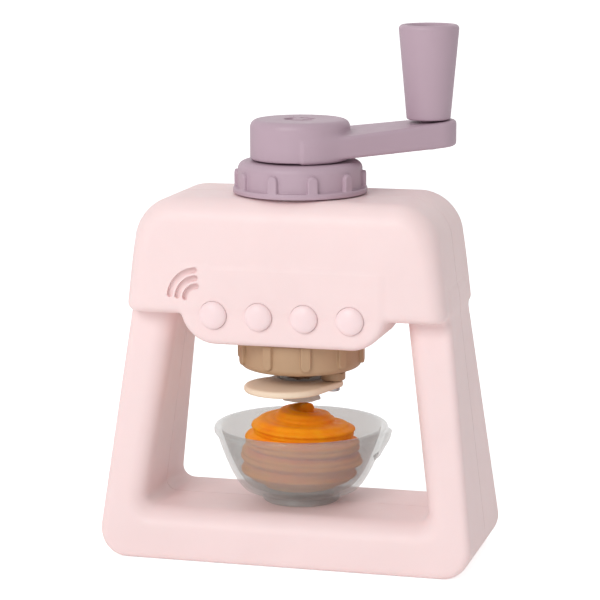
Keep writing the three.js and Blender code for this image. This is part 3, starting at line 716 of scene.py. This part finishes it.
def case_screw_places():
    """Axis and depth of each case screw, from its CAD node."""
    places = []
    for i in range(1, 7):
        lo, hi = low(f"case_screw_{i}"), high(f"case_screw_{i}")
        places.append(((lo.x + hi.x) / 2, (lo.z + hi.z) / 2, hi.y))
    return places


def make_housing():
    """Front and rear halves, parted at mid depth, with their holes and grooves."""
    step = 1.15
    lo, hi = low("front_shell"), high("front_shell")
    front = modelled("front_housing", front_field, (lo, (hi.x, 3, hi.z)), step)
    cutters = [block((-120, -SPLIT, -20), (120, 60, 200)), barrel_hole(LOBE_BOTTOM - 3, 170)]
    behind_panel = -HEAD_HALF_DEPTH + WALL + 1
    for x, z in button_places():
        cutters.append(bar(circle(BUTTON_RADIUS + BUTTON_GAP, x, z), -60, behind_panel))
    cutters += [groove_cutter(radius) for radius in GROOVE_RADII]
    for cutter in cutters:
        cut(front, cutter)
    stand_for(front, "front_shell")

    lo, hi = low("rear_shell"), high("rear_shell")
    rear = modelled("rear_housing", rear_field, ((lo.x, -3, lo.z), hi), step)
    cutters = [block((-120, -60, -20), (120, SPLIT, 200)), barrel_hole(HEAD_BOTTOM - 3, 170)]
    for x, z, back in case_screw_places():
        cutters.append(bar(circle(CASE_SCREW_HOLE_RADIUS, x, z), back - 4, 60))
    for cutter in cutters:
        cut(rear, cutter)
    stand_for(rear, "rear_shell")


# ---- buttons -------------------------------------------------------------------------------
def make_buttons():
    """Domed buttons with a flange behind the panel, which keeps them in."""
    flange, lip, brow, steps = WALL + 0.35, 1.1, 0.7, 14
    profile = [(0, -flange - lip), (BUTTON_RADIUS + lip, -flange - lip)]
    profile += [(BUTTON_RADIUS + lip, -flange), (BUTTON_RADIUS, -flange)]
    profile += [
        (BUTTON_RADIUS * math.cos(a), brow + (BUTTON_DOME - brow) * math.sin(a))
        for a in (math.pi / 2 * k / steps for k in range(steps))
    ]
    profile += [(0, BUTTON_DOME)]
    for i, (x, z) in enumerate(button_places(), start=1):
        button = turned(f"push_button_{i}", profile)
        button.data.transform(Matrix.Rotation(math.pi / 2, 4, "X"))
        button.data.transform(Matrix.Translation(Vector((x, -HEAD_HALF_DEPTH, z)) * MM))
        stand_for(button, f"button_{i}")


# ---- crank ---------------------------------------------------------------------------------
def arm_frame(x, y):
    """Coordinates along and across the arm."""
    angle = math.radians(ARM_ANGLE)
    along = x * math.cos(angle) + y * math.sin(angle)
    across = -x * math.sin(angle) + y * math.cos(angle)
    return along, across


def tapered_outline(along, across, length, big, small):
    """Two circles and their common tangents, as a distance."""
    lean = (big - small) / length
    cos = math.sqrt(1 - lean * lean)
    side = np.abs(across)
    k = -side * lean + along * cos
    from_big = np.hypot(along, side) - big
    from_small = np.hypot(along - length, side) - small
    between = side * cos + along * lean - big
    return np.where(k < 0, from_big, np.where(k > cos * length, from_small, between))


def crank_field(x, y, z):
    """Round hub with a tapering arm that climbs towards its end."""
    top = high("crank_arm").z
    along, across = arm_frame(x, y)
    hub_side = np.hypot(x, y) - HUB_RADIUS
    hub = both(both(hub_side, z - top, 3.4), 180.0 - z, 0.7)
    rise = along * math.tan(math.radians(ARM_RISE))
    outline = tapered_outline(along, across, ARM_LENGTH, HUB_RADIUS, ARM_END_RADIUS)
    underside = ARM_BOTTOM + ARM_UNDERSIDE_RISE * rise - z
    arm = both(both(outline, z - ARM_TOP - rise, 1.7), underside, 1.4)
    arm = np.maximum(arm, -along - 4)
    body = either(hub, arm, 2.2)
    slots = slot_ring(x, y, z, top)
    return without(body, slots, 0.4)


def slot_ring(x, y, z, top):
    """Three kidney slots round the middle of the hub's top."""
    third = 2 * math.pi / 3
    angle = np.arctan2(y, x) - math.radians(55)
    angle = angle - np.round(angle / third) * third
    reach = math.radians(33)
    bend = np.clip(angle, -reach, reach)
    radius = np.hypot(x, y)
    u = radius * np.cos(angle) - SLOT_RING_RADIUS * np.cos(bend)
    v = radius * np.sin(angle) - SLOT_RING_RADIUS * np.sin(bend)
    return np.maximum(np.hypot(u, v) - SLOT_RADIUS, top - 3.5 - z)


def make_crank():
    """Crank with its neck, the hollow hand grip and the headed axle that holds it."""
    lo, hi = low("crank_arm"), high("crank_arm")
    crank = modelled("crank", crank_field, ((lo.x, lo.y, 179.0), hi), 0.75)
    grip_lo, grip_hi = low("crank_grip"), high("crank_grip")
    middle = (grip_lo + grip_hi) / 2
    pin = AXLE_HOLE_RADIUS
    hole = turned("hole", [(0, 170), (pin, 170), (pin, 205), (0, 205)], (middle.x, middle.y, 0))
    cut(crank, hole)
    neck_radius, neck_top = 8.6, 181
    neck = turned("neck", [
        (0, lo.z),
        (neck_radius, lo.z),
        (neck_radius, neck_top),
        (0, neck_top),
    ])
    cut(crank, neck, "UNION")
    stand_for(crank, "crank_arm")

    base, tip = grip_lo.z, grip_hi.z
    profile = rounded([
        (pin, base),
        (9.9, base, 1.0),
        (13.75, tip, 1.9),
        (10.2, tip, 1.5),
        (7.2, base + 12, 1.0),
        (pin, base + 12),
    ], 8)
    stand_for(turned("hand_grip", profile, (middle.x, middle.y, 0)), "crank_grip")

    lo, hi = low("grip_axle"), high("grip_axle")
    profile = rounded([
        (0, lo.z - 0.9),
        (3.9, lo.z - 0.9, 0.6),
        (3.9, lo.z + 0.6),
        (3, lo.z + 0.6),
        (3, hi.z - 2),
        (5.2, hi.z - 2),
        (5.2, hi.z, 0.9),
        (0, hi.z),
    ])
    stand_for(turned("grip_axle_pin", profile, (middle.x, middle.y, 0), 48), "grip_axle")


# ---- ribbed caps ---------------------------------------------------------------------------
def rib_bars(x, y, z, tip, ends, phase):
    """Upright bars with round ends, evenly spaced round a cap."""
    pitch = 2 * math.pi / RIB_COUNT
    angle = np.arctan2(y, x) - math.radians(phase)
    angle = angle - np.round(angle / pitch) * pitch
    radius = np.hypot(x, y)
    along = radius * np.cos(angle)
    across = radius * np.sin(angle)
    z0, z1 = ends
    over = z - np.clip(z, z0, z1)
    bar_shape = np.hypot(across, over) - RIB_WIDTH / 2
    return np.maximum(both(bar_shape, along - tip, 0.6), tip - 5 - along)


def top_cap_field(x, y, z):
    """Ribbed drum on a flange ring, hollow from below, with a hole for the crank's neck."""
    lo, hi = low("top_cap"), high("top_cap")
    radius = np.hypot(x, y)
    flange = np.maximum(lo.z - z, z - lo.z - 2.6)
    flange = both(radius - hi.x, flange, 0.7)
    drum = both(radius - TOP_CAP_RADIUS, z - hi.z, 3.4)
    drum = np.maximum(drum, lo.z + 1 - z)
    ends = (lo.z, hi.z - 6.4)
    ribs = rib_bars(x, y, z, TOP_CAP_RIB_REACH, ends, TOP_CAP_RIB_PHASE)
    ribs = np.maximum(ribs, lo.z + 0.5 - z)
    body = either(either(drum, ribs, 0.25), flange, 0.3)
    hollow = both(radius - 25.2, z - hi.z + 3.1, 2.0)
    bore = radius - 8.95
    return np.maximum(body, -np.minimum(hollow, bore))


def nozzle_cap_field(x, y, z):
    """Ribbed cup with a round lower edge and a wide hole for the nozzle seat."""
    lo, hi = low("nozzle_cap"), high("nozzle_cap")
    radius = np.hypot(x, y)
    drum = both(radius - NOZZLE_CAP_RADIUS, lo.z + 0.9 - z, 3.0)
    drum = both(drum, z - hi.z, 0.5)
    ends = (lo.z + 5.6, hi.z + 6)
    ribs = rib_bars(x, y, z, NOZZLE_CAP_RIB_REACH, ends, NOZZLE_CAP_RIB_PHASE)
    ribs = np.maximum(ribs, z - hi.z)
    body = either(drum, ribs, 0.25)
    hollow = both(radius - 25.4, lo.z + 2.9 - z, 2.0)
    bore = radius - 22.2
    return np.maximum(body, -np.minimum(hollow, bore))


def make_caps():
    model_node("ribbed_top_cap", "top_cap", top_cap_field, 0.5)
    model_node("ribbed_nozzle_cap", "nozzle_cap", nozzle_cap_field, 0.5)


# ---- nozzle --------------------------------------------------------------------------------
def pivot():
    """Where the nozzle plate's pivot screw stands."""
    lo, hi = low("pivot_screw"), high("pivot_screw")
    return (lo.x + hi.x) / 2, (lo.y + hi.y) / 2


def plate_field(x, y, z):
    """Round plate that narrows to its knuckle, with a collar round the funnel hole."""
    lo, hi = low("nozzle_plate"), high("nozzle_plate")
    px, py = pivot()
    cx, cy = PLATE_CENTRE
    dx, dy = px - cx, py - cy
    span = math.hypot(dx, dy)
    along = ((x - cx) * dx + (y - cy) * dy) / span
    across = (-(x - cx) * dy + (y - cy) * dx) / span
    outline = tapered_outline(along, across, span, PLATE_RADIUS, KNUCKLE_RADIUS)
    radius = np.hypot(x, y)
    outline = either(outline, radius - 13.2, 2.0)
    thick = np.maximum(lo.z - z, z - hi.z)
    body = both(outline, thick, 1.3)
    funnel = radius - 10.15
    pin = np.hypot(x - px, y - py) - 2.0
    return np.maximum(without(body, funnel, 0.7), -pin)


def spout_field(x, y, z):
    """Waisted tube with a star-shaped bore and shallow flutes outside."""
    lo, hi = low("star_spout"), high("star_spout")
    radius = np.hypot(x, y)
    angle = np.arctan2(y, x)
    t = (z - lo.z) / (hi.z - lo.z)
    wave = np.cos(2 * math.pi * np.clip(t / 0.62, 0, 1))
    waist = 8.3 + 0.6 * wave + 0.9 * blend_step(t, 0.45, 0.7)
    flute = 0.28 * np.cos(8 * angle) * (1 - blend_step(t, 0.5, 0.7))
    outer = radius - np.minimum(waist + flute, 9.8)
    body = both(outer, np.maximum(lo.z - z, z - hi.z), 0.5)
    star = radius - (6.0 + 1.0 * np.cos(8 * angle))
    return np.maximum(body, -star)


def seat_field(x, y, z):
    """Neck and disc that hold the nozzle, with a lug at one side for the pivot screw."""
    lo, hi = low("nozzle_seat"), high("nozzle_seat")
    cap = low("nozzle_cap").z
    radius = np.hypot(x, y)
    neck = both(radius - 15.5, lo.z + 2.6 - z, 0.8)
    disc = np.maximum(radius - 21.8, cap + 0.5 - z)
    flange = np.maximum(radius - 25, hi.z - 1.2 - z)
    px, py = pivot()
    lug = both(np.hypot(x - px, y - py) - 5.6, lo.z - z, 0.8)
    lug = np.maximum(lug, z - cap + 0.35)
    body = np.minimum(np.minimum(neck, disc), np.minimum(flange, lug))
    body = np.maximum(body, z - hi.z)
    pin = np.maximum(np.hypot(x - px, y - py) - 1.6, z - lo.z - 3.6)
    return np.maximum(np.maximum(body, 10 - radius), -pin)


def make_nozzle():
    """Swinging plate, spout, seat and the cross-slotted screw they turn on."""
    model_node("swinging_plate", "nozzle_plate", plate_field, 0.6)
    model_node("fluted_spout", "star_spout", spout_field, 0.45)
    model_node("seat_with_lug", "nozzle_seat", seat_field, 0.6)

    lo, hi = low("pivot_screw"), high("pivot_screw")
    px, py = pivot()
    profile = rounded([
        (0, lo.z),
        (3.1, lo.z, 0.5),
        (3.1, lo.z + 1.4),
        (1.5, lo.z + 1.4),
        (1.5, hi.z - 3.8),
        (1.2, hi.z - 3.8),
        (1.2, hi.z),
        (0, hi.z),
    ])
    screw = turned("swing_screw", profile, (px, py, 0), 40)
    slots = [
        block((px - 1.9, py - 0.4, lo.z - 1), (px + 1.9, py + 0.4, lo.z + 0.8)),
        block((px - 0.4, py - 1.9, lo.z - 1), (px + 0.4, py + 1.9, lo.z + 0.8)),
    ]
    for slot in slots:
        cut(screw, slot)
    stand_for(screw, "pivot_screw")


# ---- barrel and drive ----------------------------------------------------------------------
def make_barrel():
    """Dough cylinder, held in the head by a collar at each wall."""
    lo, hi = low("extrusion_barrel"), high("extrusion_barrel")
    floor, roof = HEAD_BOTTOM + WALL + 0.35, HEAD_TOP - WALL - 0.35
    profile = rounded([
        (BARREL_BORE, lo.z, 0.4),
        (BARREL_RADIUS, lo.z, 0.6),
        (BARREL_RADIUS, floor),
        (26, floor),
        (26, floor + 2),
        (BARREL_RADIUS, floor + 2),
        (BARREL_RADIUS, roof - 2),
        (26.6, roof - 2),
        (26.6, roof),
        (BARREL_RADIUS, roof),
        (BARREL_RADIUS, hi.z, 0.6),
        (BARREL_BORE, hi.z, 0.4),
    ])
    stand_for(turned("dough_barrel", profile), "extrusion_barrel")


def lead_screw_field(x, y, z):
    """Left-handed round thread on a core, with a collar and a spigot at the top."""
    lo, hi = low("lead_screw"), high("lead_screw")
    radius = np.hypot(x, y)
    core = both(radius - SCREW_CORE, lo.z - z, 1.2)
    core = np.maximum(core, z - lo.z - SCREW_SHAFT)
    wound = (z - lo.z) / THREAD_PITCH + np.arctan2(y, x) / (2 * math.pi)
    off = (wound - np.round(wound)) * THREAD_PITCH
    thread = np.hypot(radius - SCREW_CORE, off * 0.97) - THREAD_RADIUS
    thread = both(thread, np.maximum(lo.z + 2.5 - z, z - lo.z - 70.2), 0.8)
    collar = both(radius - 7.4, np.maximum(lo.z + 71 - z, z - lo.z - 72.9), 0.4)
    spigot = both(radius - 4.15, z - hi.z, 0.6)
    spigot = np.maximum(spigot, lo.z + 70 - z)
    return np.minimum(np.minimum(either(core, thread, 0.4), collar), spigot)


def make_drive():
    """Lead screw, and the piston with its groove for the seal and its dished top."""
    model_node("threaded_lead_screw", "lead_screw", lead_screw_field, 0.55)

    lo, hi = low("piston"), high("piston")
    seal = low("piston_seal").z - 0.3
    outer = hi.y
    bore = SCREW_CORE + 2.6
    profile = rounded([
        (bore, lo.z, 0.5),
        (outer, lo.z, 1.6),
        (outer, seal, 0.3),
        (outer - 2.2, seal),
        (outer - 2.2, seal + 2.6),
        (outer, seal + 2.6, 0.3),
        (outer, hi.z, 0.6),
        (outer - 2.5, hi.z, 0.6),
        (outer - 4, lo.z + 8, 1.0),
        (bore + 2.6, lo.z + 8, 0.8),
        (bore + 2.6, hi.z, 0.4),
        (bore, hi.z, 0.4),
    ])
    stand_for(turned("dished_piston", profile), "piston")


# ---- bowl and dough ------------------------------------------------------------------------
def ear_field(x, y, z):
    """Small lip that hangs from the rim at the right."""
    hi = high("bowl")
    radius = np.hypot(x, y)
    tip = both(radius - hi.x + 0.5, np.abs(y) - 7.0, 3.5)
    under = (hi.z - 7.6 - z) * 0.5 + (radius - hi.y) * 0.87
    body = both(both(tip, z - hi.z + 0.6, 1.2), under, 1.5)
    return np.maximum(np.maximum(body, 35.9 - radius), -x)


def make_bowl():
    """Clear bowl with a hollow foot, a thick rim and an ear."""
    lo, hi = low("bowl"), high("bowl")
    rim, foot, wall = hi.y, BOWL_FOOT_RADIUS, BOWL_WALL
    steps = 14
    outer = []
    for k in range(steps + 1):
        t = k / steps
        radius = foot + 4.2 + (rim - foot - 5.4) * t ** 0.5
        outer.append((radius, lo.z + 4 + (hi.z - lo.z - 7.4) * t))
    profile = rounded([
        (0, lo.z + 3),
        (foot - 3, lo.z + 3, 0.8),
        (foot - 2.2, lo.z, 0.7),
        (foot, lo.z, 0.8),
        (foot - 0.2, lo.z + 3.2, 0.8),
        outer[0],
    ], 4)[:-1]
    profile += outer
    profile += rounded([
        outer[-1],
        (rim, hi.z - 2.8, 0.9),
        (rim, hi.z, 1.2),
        (rim - 3.4, hi.z, 1.2),
        (outer[-1][0] - wall, hi.z - 5),
    ], 5)[1:-1]
    inner = [(radius - wall, height + 1.6) for radius, height in outer[1:-1]]
    profile += inner[::-1]
    profile += [(foot, lo.z + 6.2), (foot - 8, lo.z + 5.6), (0, lo.z + 5.6)]
    bowl = turned("clear_bowl", profile, segments=128)
    ear_box = Vector((rim - 6, -9, hi.z - 16)), Vector((hi.x, 8, hi.z))
    cut(bowl, modelled("ear", ear_field, ear_box, 0.6), "UNION")
    bowl.visible_shadow = False
    stand_for(bowl, "bowl")


def smooth_table(rows, where):
    """Smooth curve through rows of (place, value), read at a place."""
    places = [row[0] for row in rows]
    k = max(n for n, place in enumerate(places) if place <= where or n == 0)
    k = min(k, len(rows) - 2)
    t = (where - places[k]) / (places[k + 1] - places[k])
    before, after = rows[max(k - 1, 0)][1], rows[min(k + 2, len(rows) - 1)][1]
    a, b = rows[k][1], rows[k + 1][1]
    lean_a, lean_b = (b - before) / 2, (after - a) / 2
    return (
        (2 * t ** 3 - 3 * t ** 2 + 1) * a
        + (t ** 3 - 2 * t ** 2 + t) * lean_a
        + (3 * t ** 2 - 2 * t ** 3) * b
        + (t ** 3 - t ** 2) * lean_b
    )


# The dough comes out of the star nozzle as one ribbed rope. Its shape is given at a few
# turns from the bottom up, as (turn, millimetres): outer reach from the axis, height of the
# middle, half the width and half the thickness.
ROPE_TURNS = 5.5
ROPE_REACH = [(0, 22.5), (1, 27.0), (2, 27.4), (3, 25.6), (4, 22.6), (4.5, 15.0), (5, 11.5), (5.5, 6.0)]
ROPE_HEIGHT = [(0, 34.6), (1, 38.6), (2, 45.4), (3, 52.0), (4, 58.2), (4.5, 60.4), (5, 62.8), (5.5, 66.0)]
ROPE_WIDTH = [(0, 9.0), (1, 9.5), (2, 9.5), (3, 9.5), (4, 8.5), (4.5, 7.0), (5, 6.0), (5.5, 3.0)]
ROPE_THICK = [(0, 3.2), (1, 4.2), (2, 4.3), (3, 4.2), (4, 3.9), (4.5, 3.7), (5, 3.6), (5.5, 2.2)]


def make_rope():
    """Ribbed rope wound up round the axis and drawn out to a tip."""
    build = bmesh.new()
    around, per_turn = 48, 56
    rings = []
    for k in range(int(ROPE_TURNS * per_turn) + 1):
        turn = k / per_turn
        angle = -2 * math.pi * turn + math.radians(205)
        width = smooth_table(ROPE_WIDTH, turn)
        thick = smooth_table(ROPE_THICK, turn)
        middle = smooth_table(ROPE_REACH, turn) - width
        height = smooth_table(ROPE_HEIGHT, turn)
        ring = []
        for n in range(around):
            side = 2 * math.pi * n / around
            ridge = 1 + 0.15 * (abs(math.cos(4 * side + 0.6 * turn)) - 0.6)
            out = middle + width * math.cos(side) * ridge
            up = height + thick * math.sin(side) * ridge
            ring.append(build.verts.new((
                out * math.cos(angle) * MM, out * math.sin(angle) * MM, up * MM)))
        rings.append(ring)
    for first, second in zip(rings, rings[1:]):
        for n in range(around):
            after = (n + 1) % around
            build.faces.new((first[n], first[after], second[after], second[n]))
    build.faces.new(rings[0][::-1])
    build.faces.new(rings[-1])
    bmesh.ops.recalc_face_normals(build, faces=build.faces)
    return add_object("rope", mesh_of(build, "rope"))


def make_dough():
    """The rope and the solid dough inside its coils, melted into one skin."""
    rope = make_rope()
    floor = low("dough_swirl").z
    outline = [(0, floor), (17, floor), (20, 36), (18, 56), (9, 60), (0, 62)]
    dough = joined([rope, turned("core", outline, segments=48)])
    dough.name = "dough_swirl_rope"
    step = dough.modifiers.new("melt", "REMESH")
    step.mode = "VOXEL"
    step.voxel_size = 0.42 * MM
    applied(dough)
    relax = dough.modifiers.new("relax", "SMOOTH")
    relax.factor = 0.5
    relax.iterations = 2
    applied(dough)
    smooth(dough, 180)
    stand_for(dough, "dough_swirl")


# ---- stage ---------------------------------------------------------------------------------
def make_floor():
    """Pale paper, which glows a little so that it looks evenly lit to the camera."""
    mesh = bpy.data.meshes.new("floor")
    half = 30.0
    corners = [(-half, -half, 0), (half, -half, 0), (half, half, 0), (-half, half, 0)]
    mesh.from_pydata(corners, [], [(0, 1, 2, 3)])
    floor = add_object("floor", mesh)
    nodes = Nodes("floor_paper", (0.93, 0.93, 0.93), 0.9)
    cloud = nodes.noise(3.0, 2.0)
    nodes.link(nodes.ramp(cloud, [(0.3, (0.925,) * 3), (0.7, (0.935,) * 3)]), "Base Color")
    nodes.shader.inputs["Emission Color"].default_value = (1.0, 1.0, 1.0, 1.0)
    seen = nodes.tree.nodes.new("ShaderNodeLightPath").outputs["Is Camera Ray"]
    glow = nodes.span(seen, 0.08, 0.6)
    nodes.link(glow, "Emission Strength")
    floor.data.materials.append(nodes.material)


def make_world():
    """White surroundings, brighter behind the toy than in front of it."""
    world = bpy.data.worlds.new("studio")
    world.use_nodes = True
    tree = world.node_tree
    place = tree.nodes.new("ShaderNodeTexCoord")
    facing = tree.nodes.new("ShaderNodeVectorMath")
    facing.operation = "DOT_PRODUCT"
    facing.inputs[1].default_value = (-0.26, 0.96, 0.0)
    level = tree.nodes.new("ShaderNodeMapRange")
    level.inputs["From Min"].default_value = 0.35
    level.inputs["From Max"].default_value = 0.85
    level.inputs["To Min"].default_value = WORLD_FRONT
    level.inputs["To Max"].default_value = WORLD_BACK
    tree.links.new(place.outputs["Generated"], facing.inputs[0])
    tree.links.new(facing.outputs["Value"], level.inputs["Value"])
    tree.links.new(level.outputs["Result"], tree.nodes["Background"].inputs["Strength"])
    tree.nodes["Background"].inputs["Color"].default_value = (1.0, 1.0, 1.0, 1.0)
    bpy.context.scene.world = world


def make_lamp(name, place, size, power):
    """Square lamp that faces the toy."""
    data = bpy.data.lights.new(name, "AREA")
    data.size = size
    data.energy = power
    item = bpy.data.objects.new(name, data)
    item.location = place
    aim = Vector((0, 0, 0.1)) - Vector(place)
    item.rotation_euler = aim.to_track_quat("-Z", "Y").to_euler()
    bpy.context.scene.collection.objects.link(item)


def make_camera():
    """Camera to the right of the front, a little above and slightly rolled."""
    azimuth, pitch, roll = (math.radians(a) for a in (15.209, 10.282, -0.234))
    distance = 1.0899
    target = Vector((-0.00035, 0.0, 0.11496))
    ahead = Vector((
        -math.sin(azimuth) * math.cos(pitch),
        math.cos(azimuth) * math.cos(pitch),
        -math.sin(pitch),
    ))
    right = Vector((math.cos(azimuth), math.sin(azimuth), 0.0))
    up = right.cross(ahead)
    turned_right = right * math.cos(roll) + up * math.sin(roll)
    turned_up = up * math.cos(roll) - right * math.sin(roll)
    data = bpy.data.cameras.new("view")
    data.sensor_width = 36.0
    data.lens = 2420.4 / 600 * 36.0
    data.clip_start = 0.05
    data.clip_end = 200.0
    item = bpy.data.objects.new("view", data)
    basis = Matrix((turned_right, turned_up, -ahead)).transposed().to_4x4()
    item.matrix_world = Matrix.Translation(target - ahead * distance) @ basis
    bpy.context.scene.collection.objects.link(item)
    bpy.context.scene.camera = item


make_camera()
make_floor()
make_world()
make_lamp("key", (-0.5, -1.65, 1.2), 1.0, 17.5)
make_lamp("top", (-0.2, 0.2, 1.7), 0.9, 1.5)
dress_cad_nodes()
make_housing()
make_buttons()
make_crank()
make_caps()
make_nozzle()
make_barrel()
make_drive()
make_bowl()
make_dough()
bpy.context.scene.view_settings.view_transform = "Standard"
